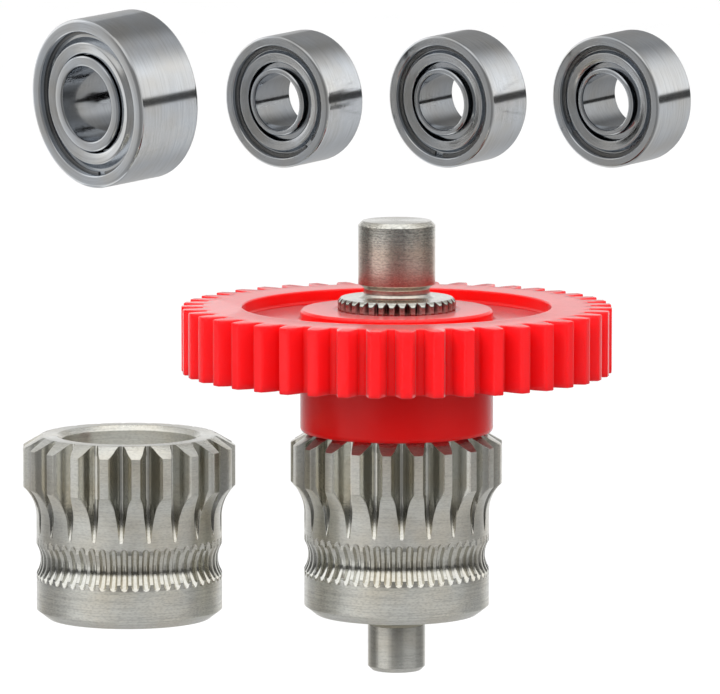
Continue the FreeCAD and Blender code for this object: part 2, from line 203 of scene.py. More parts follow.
class Skin:
    """Points and faces built ring by ring. A ring is known by its (first index, count)."""

    def __init__(self):
        self.points, self.faces = [], []

    def add_rings(self, rings):
        """Join rings of equal count with quads. Returns the first and the last ring."""
        count = len(rings[0])
        starts = []
        for ring in rings:
            starts.append(len(self.points))
            self.points.extend(ring)
        for low, high in zip(starts, starts[1:]):
            for j in range(count):
                k = (j + 1) % count
                self.faces.append((low + j, low + k, high + k, high + j))
        return (starts[0], count), (starts[-1], count)

    def add_lathe(self, profile, soft, count):
        return self.add_rings(lathe_rings(smooth_profile(profile, soft), count))

    def by_angle(self, ring):
        """A ring's point indices and their angles, in rising angle."""
        def angle(index):
            x, y = self.points[index][:2]
            return math.atan2(y, x) % FULL_TURN
        start, count = ring
        indices = sorted(range(start, start + count), key=angle)
        return indices, [angle(index) for index in indices]

    def zip_rings(self, ring_a, ring_b):
        """Join two rings of different counts with triangles."""
        a, angles_a = self.by_angle(ring_a)
        b, angles_b = self.by_angle(ring_b)
        count_a, count_b = len(a), len(b)
        i = j = 0
        while i < count_a or j < count_b:
            next_a = angles_a[i + 1] if i + 1 < count_a else angles_a[0] + FULL_TURN
            next_b = angles_b[j + 1] if j + 1 < count_b else angles_b[0] + FULL_TURN
            if i < count_a and (j >= count_b or next_a <= next_b):
                self.faces.append((a[i], a[(i + 1) % count_a], b[j % count_b]))
                i += 1
            else:
                self.faces.append((a[i % count_a], b[(j + 1) % count_b], b[j]))
                j += 1

    def make(self, name, sharp_deg, body, node, slot, x_mm=0.0, y_mm=0.0):
        """The piece, with its axis at (x_mm, y_mm)."""
        points = [(x + x_mm, y + y_mm, z + LIFT) for x, y, z in self.points]
        return make(name, points, self.faces, sharp_deg, body, node)


def wobble(x, seed):
    """Smooth repeatable noise, about -1 to 1."""
    return (math.sin(x * 1.7 + seed) + math.sin(x * 2.9 + seed * 2.3 + 1.1)
            + math.sin(x * 5.3 + seed * 0.7 + 2.7)) / 3.0


def base_radius(teeth, module):
    return teeth * module / 2 * math.cos(PRESSURE_ANGLE)


def half_tooth(radius, teeth, module, shift):
    """Half the angle an involute tooth takes up at a radius."""
    pitch_r = teeth * module / 2
    base_r = base_radius(teeth, module)
    slope = math.acos(min(1.0, base_r / max(radius, base_r)))
    tan0 = math.tan(PRESSURE_ANGLE)
    return ((math.pi * module / 2 + 2 * shift * module * tan0) / (2 * pitch_r)
            + (tan0 - PRESSURE_ANGLE) - (math.tan(slope) - slope))


# ------------------------------------------------------------------ drum
def body_radius(z):
    """Turned outline of the drum before the teeth and flutes are cut."""
    if z < BOTTOM_CHAMFER_H:
        return BOTTOM_R + (BODY_R - BOTTOM_R) * z / BOTTOM_CHAMFER_H
    if z > Z_CHAMFER:
        return TIP_R + (TOP_R - TIP_R) * (z - Z_CHAMFER) / TOP_CHAMFER_H
    if z >= Z_TIP:
        return TIP_R
    if z > Z_THROAT:
        rise, height = TIP_R - BODY_R, Z_TIP - Z_THROAT
        curve_r = (rise * rise + height * height) / (2 * rise)
        return BODY_R + curve_r - math.sqrt(curve_r * curve_r - (z - Z_THROAT) ** 2)
    groove_half = math.sqrt(2 * GROOVE_R * GROOVE_DEPTH - GROOVE_DEPTH ** 2)
    off = abs(z - Z_GROOVE)
    if off < groove_half:
        return BODY_R - (math.sqrt(GROOVE_R ** 2 - off * off) - (GROOVE_R - GROOVE_DEPTH))
    return BODY_R


def gap_half(radius):
    """Half-angle of a tooth gap, with a rounded floor and a taper up to the flanks."""
    def flank(at):
        return math.pi / DRUM_TEETH["teeth"] - half_tooth(at, **DRUM_TEETH)
    height = radius - ROOT_R
    if height < FLOOR_ROUND_H:
        return FLOOR_HALF_W * math.sqrt(1 - (1 - height / FLOOR_ROUND_H) ** 2) / radius
    if height < FILLET_H:
        top_w = flank(ROOT_R + FILLET_H) * (ROOT_R + FILLET_H)
        return (FLOOR_HALF_W + (top_w - FLOOR_HALF_W) * (height - FLOOR_ROUND_H)
                / (FILLET_H - FLOOR_ROUND_H)) / radius
    return flank(radius)


def gap_point(radius, z):
    """The cutter's surface at height z: (distance out along the gap's middle, half-width).

    None where the run-out has carried the cutter clear.
    """
    width = gap_half(radius) * radius
    if z >= Z_STRAIGHT:
        return radius, width
    pivot = ROOT_R + RUNOUT_R
    reach = pivot - radius
    below = Z_STRAIGHT - z
    if below >= reach:
        return None
    return pivot - math.sqrt(reach * reach - below * below), width


def gap_section(z):
    """Gap outline at height z, lip to lip, as (angle, radius). None where nothing is cut."""
    rim = body_radius(z)
    floor = gap_point(ROOT_R, z)
    if floor is None or floor[0] >= rim - 1e-4:
        return None
    low, high = ROOT_R, TIP_R + 0.5
    for _ in range(40):                             # find where the cutter meets the rim
        middle = (low + high) / 2
        if math.hypot(*gap_point(middle, z)) < rim:
            low = middle
        else:
            high = middle
    half = []
    for i in range(GAP_STEPS + 1):
        out, width = gap_point(ROOT_R + (low - ROOT_R) * ((i / GAP_STEPS) ** 1.8), z)
        half.append((math.atan2(width, out), math.hypot(out, width)))
    half[-1] = (half[-1][0], rim)
    return [(-angle, radius) for angle, radius in reversed(half)] + half[1:]


def toothed_rings(phase_deg):
    """Rings of the drum's upper part, with grid lines laid along the gap lips."""
    edge, round_z = 0.012, 0.014
    heights = [*np.arange(Z_GRID, Z_THROAT, 0.05), *np.arange(Z_THROAT, Z_TIP - 0.02, 0.05),
               Z_TIP - edge, Z_TIP, Z_TIP + edge,
               *np.linspace(Z_TIP + 0.15, Z_CHAMFER - 0.10, 8),
               Z_CHAMFER - round_z, Z_CHAMFER, Z_CHAMFER + round_z,
               *np.linspace(Z_CHAMFER + 0.08, DRUM_H - 0.02, 6), DRUM_H]
    pitch = FULL_TURN / DRUM_TEETH["teeth"]
    front = math.radians(phase_deg - 90.0)
    rings = []
    for z in heights:
        rim = body_radius(z)
        section = gap_section(z)
        if section is None or section[-1][0] < MIN_LIP:      # plain, below the run-out
            section = [((i - GAP_STEPS) / GAP_STEPS * MIN_LIP, rim)
                       for i in range(2 * GAP_STEPS + 1)]
            lip = MIN_LIP
        else:
            lip = section[-1][0]
        land = pitch - 2 * lip
        ring = []
        for k in range(DRUM_TEETH["teeth"]):
            middle = front + (k + 0.5) * pitch
            ring += [polar(radius, middle + angle, z) for angle, radius in section]
            ring += [polar(rim, middle + lip + land * (j / (LAND_STEPS + 1)), z)
                     for j in range(1, LAND_STEPS + 1)]
        rings.append(ring)
    return rings


def flute_radius(side, z):
    """Radius of the flute cutter's surface, side mm off its middle. None outside it."""
    side, below = abs(side), abs(z - Z_FLUTE)
    if side >= FLUTE_W * 1.25:
        return None
    nose_h = FLUTE_NOSE_W * FLUTE_NOSE_SHAPE
    if side <= FLUTE_NOSE_W:
        edge = nose_h * (1 - math.sqrt(1 - (side / FLUTE_NOSE_W) ** 2))
    else:
        edge = nose_h + ((side - FLUTE_NOSE_W) / (FLUTE_W - FLUTE_NOSE_W)
                         * (FLUTE_DEPTH - nose_h))
    reach = FLUTE_DISC_R - edge
    if reach <= below:
        return None
    return BODY_R - FLUTE_DEPTH + FLUTE_DISC_R - math.sqrt(reach * reach - below * below)


def fluted_rings(phase_deg):
    """Rings of the drum's lower part: chamfer, plain band and fluted groove."""
    edge = 0.012
    heights = [0.0, 0.02, *np.linspace(0.10, BOTTOM_CHAMFER_H - 0.05, 4),
               BOTTOM_CHAMFER_H - edge, BOTTOM_CHAMFER_H, BOTTOM_CHAMFER_H + edge,
               *np.arange(0.80, 1.90, 0.30), *np.arange(1.95, 4.28, 0.05), 4.33]
    pitch = FULL_TURN / FLUTES
    front = math.radians(phase_deg - 90.0)
    rings = []
    for z in heights:
        rim = body_radius(z)
        ring = []
        for k in range(FLUTES):
            for j in range(FLUTE_STEPS):
                angle = (j / FLUTE_STEPS - 0.5) * pitch
                radius = rim
                if 1.9 < z < 4.3:
                    cut = flute_radius(angle * FLUTE_R, z)
                    if cut is not None:
                        radius = min(rim, cut)
                ring.append(polar(radius, front + k * pitch + angle, z))
        rings.append(ring)
    return rings


def drum_skin(phase_deg):
    """The drum's outside, open at both ends. Returns it with its bottom and top rings."""
    skin = Skin()
    bottom, low_end = skin.add_rings(fluted_rings(phase_deg))
    high_start, top = skin.add_rings(toothed_rings(phase_deg))
    skin.zip_rings(low_end, high_start)
    return skin, bottom, top


def mark_turned(obj, x_mm=0.0, y_mm=0.0):
    """Attribute "turned": 1 on turned faces, 0 in the tooth gaps and flutes."""
    count = len(obj.data.vertices)
    points = np.zeros(count * 3)
    obj.data.vertices.foreach_get("co", points)
    points = points.reshape(-1, 3) / MM
    radius = np.hypot(points[:, 0] - x_mm, points[:, 1] - y_mm)
    z = points[:, 2] - LIFT
    turned = np.ones(count)
    for i in np.nonzero((z > 0.5) & (z < DRUM_H - 0.01) & (radius > 4.15))[0]:
        turned[i] = 1.0 if radius[i] > body_radius(z[i]) - 0.012 else 0.0
    attribute = obj.data.attributes.new("turned", "FLOAT", "POINT")
    attribute.data.foreach_set("value", turned.astype(np.float32))


def knurl_radius(off, k):
    """Knurl radius; off runs from 0 in groove k's middle to 1 on a crest. Cut unevenly."""
    deep = KNURL_DEPTH * (0.92 + 0.08 * wobble(k * 3.1, 0.4))
    wide = 0.56 + 0.07 * wobble(k * 2.3, 1.9)
    t = max(0.0, 1 - max(0.0, off - 0.06) / wide)
    return KNURL_R - deep * t ** 0.8 - 0.012 * (1 - off)


def knurl_ring(z, steps, clearance=0.0, limit=math.inf):
    """A knurled ring at height z, steps points to a groove, no wider than limit."""
    ring = []
    for k in range(KNURLS):
        for j in range(steps):
            t = j / steps
            radius = knurl_radius(abs(t - 0.5) * 2, k) + clearance
            angle = math.radians(-90) + FULL_TURN * (k + t + 0.5) / KNURLS
            ring.append(polar(min(radius, limit), angle, z))
    return ring


# ------------------------------------------------------------------ drive shaft
def build_drive():
    skin, bottom, top = drum_skin(DRIVE_PHASE)
    steps = 192
    stub = [(0.001, -3.0), (1.28, -3.0), (1.5, -2.78), (1.5, -0.60), (1.40, -0.50),
            (1.40, 0.0), (1.9, 0.0), (4.0, 0.0)]                    # radius, z
    _, stub_top = skin.add_lathe(stub, soft=0.03, count=steps)
    skin.zip_rings(bottom, stub_top)

    round_start = Z_KNURL - KNURL_ROUND_H
    heights = [DRUM_H, 12.0, 15.6, 16.0, round_start, Z_KNURL - 0.20, Z_KNURL - 0.16,
               Z_KNURL - 0.12, Z_KNURL - 0.06, Z_KNURL - 0.012, Z_KNURL]
    rings = []
    for z in heights:
        rise = max(0.0, (z - round_start) / KNURL_ROUND_H)
        rings.append(knurl_ring(z, steps=16, limit=KNURL_R - 0.15 * rise ** 1.8))
    knurl_bottom, knurl_top = skin.add_rings(rings)
    skin.zip_rings(top, knurl_bottom)

    z = Z_KNURL
    journal = [(2.70, z), (2.06, z), (1.98, z), (1.86, z + 0.045), (1.77, z + 0.13),
               (1.72, z + 0.24), (1.72, z + 0.50), (1.80, z + 0.60), (2.0, z + 0.72),
               (2.0, 20.28), (1.78, 20.5), (0.001, 20.5)]           # radius, z
    journal_bottom, _ = skin.add_lathe(journal, soft=0.035, count=steps)
    skin.zip_rings(knurl_top, journal_bottom)
    obj = skin.make("drive_shaft_fine", 32, "drive", "drive_shaft", "turned_steel")
    mark_turned(obj)
    return obj


# ------------------------------------------------------------------ idler gear
def build_idler():
    skin, bottom, top = drum_skin(IDLER_PHASE)
    bore = [(4.10, 0.0), (3.75, 0.0), (3.5, 0.25), (3.5, 3.10), (3.1, 3.10), (3.1, 6.40),
            (3.5, 6.40), (3.5, DRUM_H - 0.25), (3.75, DRUM_H), (4.30, DRUM_H)]   # radius, z
    bore_bottom, bore_top = skin.add_lathe(bore, soft=0.03, count=256)
    skin.zip_rings(bottom, bore_bottom)
    skin.zip_rings(top, bore_top)
    x_mm, y_mm = IDLER_POS[0] / MM, IDLER_POS[1] / MM
    obj = skin.make("idler_gear_fine", 32, "idler", "idler_gear", "turned_steel", x_mm, y_mm)
    mark_turned(obj, x_mm, y_mm)
    return obj


# ------------------------------------------------------------------ moulded spur gear
def spur_outline(grow, ripple_seed):
    """Tooth outline (x, y); a negative grow draws it in, a ripple seed adds moulding ripple."""
    root_steps, flank_steps, tip_steps = 7, 8, 5
    flank_end = 0.035                               # the flank stops this far below the tip
    base_r = base_radius(SPUR_TEETH["teeth"], SPUR_TEETH["module"])
    pitch = FULL_TURN / SPUR_TEETH["teeth"]
    front = math.radians(SPUR_PHASE - 90)
    base_half = half_tooth(base_r, **SPUR_TEETH)
    tip_half = half_tooth(SPUR_TIP_R, **SPUR_TEETH)
    points = []
    for k in range(SPUR_TEETH["teeth"]):
        middle = front + k * pitch
        left = []                                   # (angle, radius) from the gap's middle
        for i in range(root_steps):
            t = i / root_steps
            left.append((middle - pitch / 2 + (pitch / 2 - base_half) * t,
                         SPUR_ROOT_R + (base_r - SPUR_ROOT_R) * (t ** 3)))
        for i in range(flank_steps):
            radius = base_r + (SPUR_TIP_R - flank_end - base_r) * (i / (flank_steps - 1))
            left.append((middle - half_tooth(radius, **SPUR_TEETH), radius))
        mirrored = [(2 * middle - angle, radius) for angle, radius in reversed(left)]
        tip = []
        for i in range(tip_steps):
            t = -1 + 2 * i / (tip_steps - 1)
            tip.append((middle + t * (tip_half - 0.0028), SPUR_TIP_R - 0.004 * t * t))
        points += [polar(radius, angle, 0.0)[:2]
                   for angle, radius in left + tip + mirrored[:-1]]
    points = np.array(points)
    if grow:
        along = np.roll(points, -1, 0) - np.roll(points, 1, 0)
        along /= np.linalg.norm(along, axis=1)[:, None] + 1e-12
        points = points + np.stack([along[:, 1], -along[:, 0]], 1) * grow
    if ripple_seed is not None:
        radii = np.linalg.norm(points, axis=1)
        ripple = np.array([wobble(angle * 61.0, ripple_seed)
                           * wobble(angle * 23.0, ripple_seed + 2.0)
                           for angle in np.arctan2(points[:, 1], points[:, 0])])
        points = points * (1 + (np.clip(ripple, 0.05, 1) * 0.030 / radii))[:, None]
    return points


def build_spur():
    skin = Skin()
    edge = 0.055                                    # rounding of the teeth's end edges
    z0, z1 = SPUR_Z0, SPUR_Z1
    levels = [(z0, -edge, 1.3), (z0 + edge * 0.30, -edge * 0.30, 1.3), (z0 + edge, 0.0, None)]
    levels += [(z, 0.0, None) for z in np.linspace(z0 + 0.30, z1 - 0.30, 6)]
    levels += [(z1 - edge, 0.0, None), (z1 - edge * 0.30, -edge * 0.30, 4.1), (z1, -edge, 4.1)]
    bottom, top = skin.add_rings([[(x, y, z) for x, y in spur_outline(grow, ripple_seed)]
                                  for z, grow, ripple_seed in levels])

    # Each face has a ring-shaped recess with filleted corners, then the hub. Columns: radius, z
    steps, soft, fillet = 288, 0.045, RECESS_FILLET
    floor = z1 - RECESS_DEPTH
    top_face = [(9.6, z1), (8.06, z1), (8.0, z1 - 0.06), (8.0, floor + fillet),
                (8.0 - FILLET_MID, floor + FILLET_MID), (8.0 - fillet, floor),
                (5.0 + fillet, floor), (5.0 + FILLET_MID, floor + FILLET_MID),
                (5.0, floor + fillet), (5.0, Z_HUB_TOP - 0.12), (4.88, Z_HUB_TOP),
                (3.30, Z_HUB_TOP), (3.16, Z_HUB_TOP - 0.05)]
    top_start, top_end = skin.add_lathe(top_face, soft, steps)
    skin.zip_rings(top, top_start)
    ceiling = z0 + RECESS_DEPTH
    bottom_face = [(9.6, z0), (8.06, z0), (8.0, z0 + 0.06), (8.0, ceiling - fillet),
                   (8.0 - FILLET_MID, ceiling - FILLET_MID), (8.0 - fillet, ceiling),
                   (5.0 + fillet, ceiling), (5.0 + FILLET_MID, ceiling - FILLET_MID),
                   (5.0, ceiling - fillet), (5.0, z0 - 0.4), (5.0, 11.0), (5.0, 9.72),
                   (4.94, 9.56), (4.78, DRUM_H), (3.3, DRUM_H), (3.16, DRUM_H)]
    bottom_start, bottom_end = skin.add_lathe(bottom_face, soft, steps)
    skin.zip_rings(bottom, bottom_start)

    # The bore carries the knurl's shape, just outside it
    heights = [DRUM_H, 9.52, 12.0, 15.5, Z_HUB_TOP - 0.07, Z_HUB_TOP - 0.05]
    bore_bottom, bore_top = skin.add_rings([knurl_ring(z, steps=12, clearance=0.006)
                                            for z in heights])
    skin.zip_rings(top_end, bore_top)
    skin.zip_rings(bottom_end, bore_bottom)
    return skin.make("spur_gear_fine", 40, "drive", "spur_gear", "red_acetal")


# ------------------------------------------------------------------ bearings
def build_ring(name, profile, place, body, node, soft, sharp_deg=35, gap=None):
    """A turned ring from its closed (radius, z) outline; gap opens it, in mm, across +X."""
    steps = 192
    outline = smooth_profile(list(profile) + [profile[0]], soft)[:-1]
    count = len(outline)
    if gap:
        half = math.asin(gap / 2 / profile[0][0])
        angles = np.linspace(half, FULL_TURN - half, steps)
    else:
        angles = np.linspace(0, FULL_TURN, steps, endpoint=False)
    points = [polar(radius, angle, z) for angle in angles for radius, z in outline]
    faces = []
    for i in range(steps - 1 if gap else steps):
        here, there = i * count, (i + 1) % steps * count
        for j in range(count):
            k = (j + 1) % count
            faces.append((here + j, here + k, there + k, there + j))
    if gap:
        faces.append(tuple(range(count)))
        faces.append(tuple(reversed(range((steps - 1) * count, steps * count))))
    points = [tuple(place @ Vector(point)) for point in points]
    make(name, points, faces, sharp_deg, body, node)


def arc_points(x, z, radius, start_deg, end_deg, steps):
    points = []
    for i in range(steps + 1):
        angle = math.radians(start_deg + (end_deg - start_deg) * i / steps)
        points.append((x + radius * math.cos(angle), z + radius * math.sin(angle)))
    return points


def both_halves(upper):
    return upper + [(radius, -z) for radius, z in reversed(upper)]


def bearing_place(name):
    """Matrix in mm from a bearing's own axes, with its axis on Z, to its place."""
    joint = JOINTS[name + "_spin"]
    tilt = Vector((0, 0, 1)).rotation_difference(Vector(joint["axis"])).to_matrix().to_4x4()
    turn = Matrix.Rotation(math.radians(BEARING_TURNS[name]), 4, "Z")
    return Matrix.Translation(Vector(joint["pos_m"]) / MM) @ tilt @ turn


def build_bearing(name, size, place):
    half, land_z, chamfer = size.half, size.land_z, size.chamfer
    groove_z0 = land_z + 0.10                       # the clip's groove in the outer ring
    groove_z1 = groove_z0 + 0.16
    race_r = size.ball + 0.012

    race_deg = math.degrees(math.acos((size.out_land - size.pitch) / race_r))
    upper = [(size.out_land, land_z), (size.recess, land_z), (size.recess, groove_z0),
             (size.groove, groove_z0), (size.groove, groove_z1), (size.recess, groove_z1),
             (size.recess, half - 0.05), (size.recess + 0.05, half), (size.od - chamfer, half),
             *arc_points(size.od - chamfer, half - chamfer, chamfer, 80, 10, 4),
             (size.od, half - chamfer)]
    race = arc_points(size.pitch, 0, race_r, -race_deg, race_deg, 14)
    build_ring(name + "_outer_fine", race + both_halves(upper), place, "root",
               name + "_outer_ring", soft=0.012)

    race_deg = math.degrees(math.acos((size.pitch - size.in_land) / race_r))
    upper = [(size.in_land, land_z), (size.in_face, land_z), (size.in_face, half - 0.07),
             (size.in_face - 0.07, half), (size.bore + 0.10, half),
             (size.bore + 0.03, half - 0.03), (size.bore, half - 0.10)]
    race = arc_points(size.pitch, 0, race_r, 180 + race_deg, 180 - race_deg, 14)
    build_ring(name + "_inner_fine", race + both_halves(upper), place, name + "_inner",
               name + "_inner_ring", soft=0.012)

    # The pressed shield is slightly dished towards its inner edge
    top = half - 0.12
    inside, flat, foot = size.shield_in, size.shield_flat, size.shield_foot
    middle = inside * 0.55 + flat * 0.45
    shield = [(size.recess - 0.004, land_z), (size.recess - 0.004, groove_z0),
              (foot + 0.03, groove_z0), (flat + 0.06, top - 0.05), (flat, top),
              (flat - 0.05, top - 0.005), (middle, top - 0.045), (inside + 0.06, top - 0.085),
              (inside, top - 0.12), (inside, top - 0.18), (middle, top - 0.145),
              (flat - 0.04, top - 0.10), (foot - 0.03, land_z)]
    bevel = 0.04
    wire_in, wire_out = size.wire_in, size.groove - 0.004
    clip = [(wire_in, groove_z0 + bevel), (wire_in + bevel, groove_z0), (wire_out, groove_z0),
            (wire_out, groove_z1), (wire_in + bevel, groove_z1), (wire_in, groove_z1 - bevel)]
    for side, sign in (("front", -1), ("back", 1)):
        for kind, profile, gap in (("shield", shield, None), ("clip", clip, 0.50)):
            part = f"{name}_{kind}_{side}"
            build_ring(part + "_fine", [(radius, sign * z) for radius, z in profile], place,
                       "root", part, soft=0.03, sharp_deg=50, gap=gap)


# ------------------------------------------------------------------ shader helpers
def feed(nt, node, inputs):
    """Link or set a node's inputs, given as {name or index: socket or value}."""
    for key, value in inputs.items():
        if isinstance(value, bpy.types.NodeSocket):
            nt.links.new(value, node.inputs[key])
        else:
            node.inputs[key].default_value = value


def add(nt, kind, inputs=None, **settings):
    node = nt.nodes.new("ShaderNode" + kind)
    for key, value in settings.items():
        setattr(node, key, value)
    feed(nt, node, inputs or {})
    return node


def tree(name, inputs=None):
    """A material, its node tree and its Principled node with these inputs."""
    material = bpy.data.materials.new(name)
    material.use_nodes = True
    nt = material.node_tree
    surface = nt.nodes["Principled BSDF"]
    feed(nt, surface, inputs or {})
    return material, nt, surface


def colour(value):
    """A single number stands for a grey."""
    return (value, value, value, 1.0) if isinstance(value, (int, float)) else value


def calc(nt, operation, *operands):
    return add(nt, "Math", dict(enumerate(operands)), operation=operation).outputs[0]


def vector_calc(nt, operation, *operands, output=0):
    node = add(nt, "VectorMath", dict(enumerate(operands)), operation=operation)
    return node.outputs[output]


def separate(nt, vector):
    return tuple(add(nt, "SeparateXYZ", {0: vector}).outputs)


def combine(nt, *parts):
    return add(nt, "CombineXYZ", dict(enumerate(parts))).outputs[0]


def noise(nt, vector=None, **inputs):
    named = {key.title(): value for key, value in inputs.items()}
    if vector is not None:
        named["Vector"] = vector
    return add(nt, "TexNoise", named).outputs["Fac"]


def map_range(nt, value, **ends):
    named = {key.replace("_", " ").title(): end for key, end in ends.items()}
    return add(nt, "MapRange", {"Value": value, **named}).outputs[0]


def ramp(nt, factor, stops, interpolation="LINEAR"):
    """A colour ramp; stops are (position, colour or grey)."""
    node = add(nt, "ValToRGB", {0: factor})
    node.color_ramp.interpolation = interpolation
    elements = node.color_ramp.elements
    while len(elements) > 1:
        elements.remove(elements[-1])
    elements[0].position, elements[0].color = stops[0][0], colour(stops[0][1])
    for position, value in stops[1:]:
        elements.new(position).color = colour(value)
    return node.outputs[0]


def mix_node(nt, factor, first, second, blend="MIX"):
    return add(nt, "Mix", {0: factor, 6: colour(first), 7: colour(second)},
               data_type="RGBA", blend_type=blend)


def mix(nt, factor, first, second, blend="MIX"):
    return mix_node(nt, factor, first, second, blend).outputs[2]


def mix_shaders(nt, factor, first, second):
    return add(nt, "MixShader", {0: factor, 1: first, 2: second}).outputs[0]


def add_bump(nt, surface, height, strength):
    bump = add(nt, "Bump", {"Strength": strength, "Distance": 0.00003, "Height": height})
    nt.links.new(bump.outputs[0], surface.inputs["Normal"])


def local_coords(nt, place):
    """Object coordinates in mm about a piece's own axis."""
    to_local = place.inverted()
    return add(nt, "Mapping", {
        "Vector": add(nt, "TexCoord").outputs["Object"],
        "Location": to_local.to_translation(),
        "Rotation": to_local.to_3x3().to_euler("XYZ"),
        "Scale": (1000, 1000, 1000)}, vector_type="POINT").outputs["Vector"]


def axis_distance(nt, x, y):
    return vector_calc(nt, "LENGTH", combine(nt, x, y), output="Value")


def ray_origin(nt):
    """Where the ray that meets the surface started, its length, and the Incoming vector."""
    incoming = add(nt, "NewGeometry")
    length = add(nt, "LightPath").outputs["Ray Length"]
    back = add(nt, "VectorMath", {0: incoming.outputs["Incoming"], "Scale": length},
               operation="SCALE").outputs[0]
    origin = vector_calc(nt, "ADD", incoming.outputs["Position"], back)
    return origin, length, incoming.outputs["Incoming"]


def show_where(nt, output, condition, shader):
    """Transparent except where condition is 1."""
    clear = add(nt, "BsdfTransparent").outputs[0]
    nt.links.new(mix_shaders(nt, condition, clear, shader), output.inputs[0])


def assign(obj, material):
    obj.data.materials.clear()
    obj.data.materials.append(material)


def reflections_only(obj):
    for kind in ("camera", "diffuse", "transmission", "volume_scatter", "shadow"):
        setattr(obj, "visible_" + kind, False)


# ------------------------------------------------------------------ steel
# Columns: height over the origin in mm, value. They vary the gear steel up the piece.
TABLE_TOP = 24.0
ROUGH_BY_HEIGHT = [                                 # times the material's own roughness
    (3.0, 0.62), (3.4, 1.35), (4.95, 1.35), (5.1, 0.55), (7.0, 0.55), (7.2, 1.20), (9.6, 1.20),
    (10.2, 1.10), (12.2, 1.10), (12.5, 0.7), (19.4, 0.45), (20.2, 0.60), (23.3, 0.62),
    (23.45, 0.55)]
MARKS_BY_HEIGHT = [                                 # strength of the tool marks
    (3.0, 0.30), (3.4, 0.55), (4.95, 0.55), (5.1, 0.15), (7.0, 0.15), (7.3, 0.35), (9.6, 0.35),
    (10.5, 0.30), (12.5, 0.30), (19.4, 0.30), (20.2, 0.40), (22.0, 0.55), (23.2, 0.95),
    (23.35, 0.4)]
PITS_BY_HEIGHT = [                                  # strength of the fine pits
    (3.0, 0.10), (3.4, 0.30), (5.0, 0.30), (5.1, 0.15), (7.2, 0.22), (12.4, 0.22), (19.5, 0.30),
    (20.0, 0.35), (22.0, 0.42), (23.3, 0.70), (23.45, 0.25)]
BRIGHT_BY_HEIGHT = [                                # brightness of the turned skin
    (3.0, 0.80), (3.4, 1.0), (4.95, 1.0), (5.1, 0.82), (7.0, 0.82), (7.2, 0.94), (12.2, 0.94),
    (12.5, 0.80), (19.6, 0.80), (20.2, 0.93), (23.3, 0.93), (23.5, 0.80)]
PAINTED_RED_REFLECTION_BY_HEIGHT = [                                  # painted reflection of the red gear: a brownish red tint low on the journal, fading to grey at its top
    (19.5, 1.0), (20.0, (0.98, 0.78, 0.72, 1)), (22.0, (0.98, 0.84, 0.79, 1)), (22.9, 0.95),
    (23.2, 0.92)]
KNURL_END_BY_HEIGHT = [(18.9, 0), (19.0, 1), (19.42, 1), (19.47, 0)]    # 1 at the knurl's top

GEAR_STEEL = dict(tint=(0.765, 0.765, 0.715), roughness=0.30, lines=11.0, bump=0.03,
                  stain=0.05)
BEARING_STEELS = {
    "ring": dict(tint=(0.63, 0.66, 0.695), roughness=0.12, lines=10.0, bump=0.010, stain=0.05),
    "shield": dict(tint=(0.66, 0.685, 0.71), roughness=0.17, lines=6.0, bump=0.015, stain=0.08),
    # The clip's dark tint is painted shade, for the shaded groove it sits in
    "clip": dict(tint=(0.20, 0.205, 0.21), roughness=0.25, lines=8.0, bump=0.03, stain=0.10),
    "cage": dict(tint=(0.42, 0.40, 0.36), roughness=0.35, lines=12.0, bump=0.08, stain=0.25),
    "ball": dict(tint=(0.70, 0.71, 0.73), roughness=0.06, lines=6.0, bump=0.02, stain=0.04),
}


def turned_steel(name, place, tint, roughness, lines, bump, stain):
    """Turned steel: fine rings round the axis and slight stain.

    lines is the tool marks' fineness per mm. Returns the parts that other steels refine.
    """
    material, nt, surface = tree(name, {"Metallic": 1.0})
    vector = local_coords(nt, place)
    x, y, height = separate(nt, vector)
    radius = axis_distance(nt, x, y)
    stretched = combine(nt, calc(nt, "MULTIPLY", calc(nt, "ARCTAN2", y, x), 1.6),
                        calc(nt, "MULTIPLY", height, lines),
                        calc(nt, "MULTIPLY", radius, lines))
    tool = noise(nt, stretched, scale=1.0, detail=4.0, roughness=0.65)
    blotch = noise(nt, vector, scale=0.45, detail=3.0)
    grit = noise(nt, vector, scale=1.2, detail=2.0)
    red, green, blue = (part * (1 - stain) for part in tint)
    stained = (red * 1.02, green * 0.97, blue * 0.90, 1)
    base = ramp(nt, blotch, [(0.30, stained), (0.62, tint + (1,))])
    tool_shade = ramp(nt, tool, [(0.34, 0.62), (0.56, 1.0)])
    marks = mix_node(nt, 0.30, base, tool_shade, "MULTIPLY")
    rough = map_range(nt, grit, from_min=0.3, from_max=0.7,
                      to_min=roughness * 0.90, to_max=roughness * 1.10)
    feed(nt, surface, {"Base Color": marks.outputs[2], "Roughness": rough})
    add_bump(nt, surface, tool, strength=bump)
    return SimpleNamespace(material=material, nt=nt, surface=surface, vector=vector,
                           radius=radius, height=height, marks=marks, rough=rough)


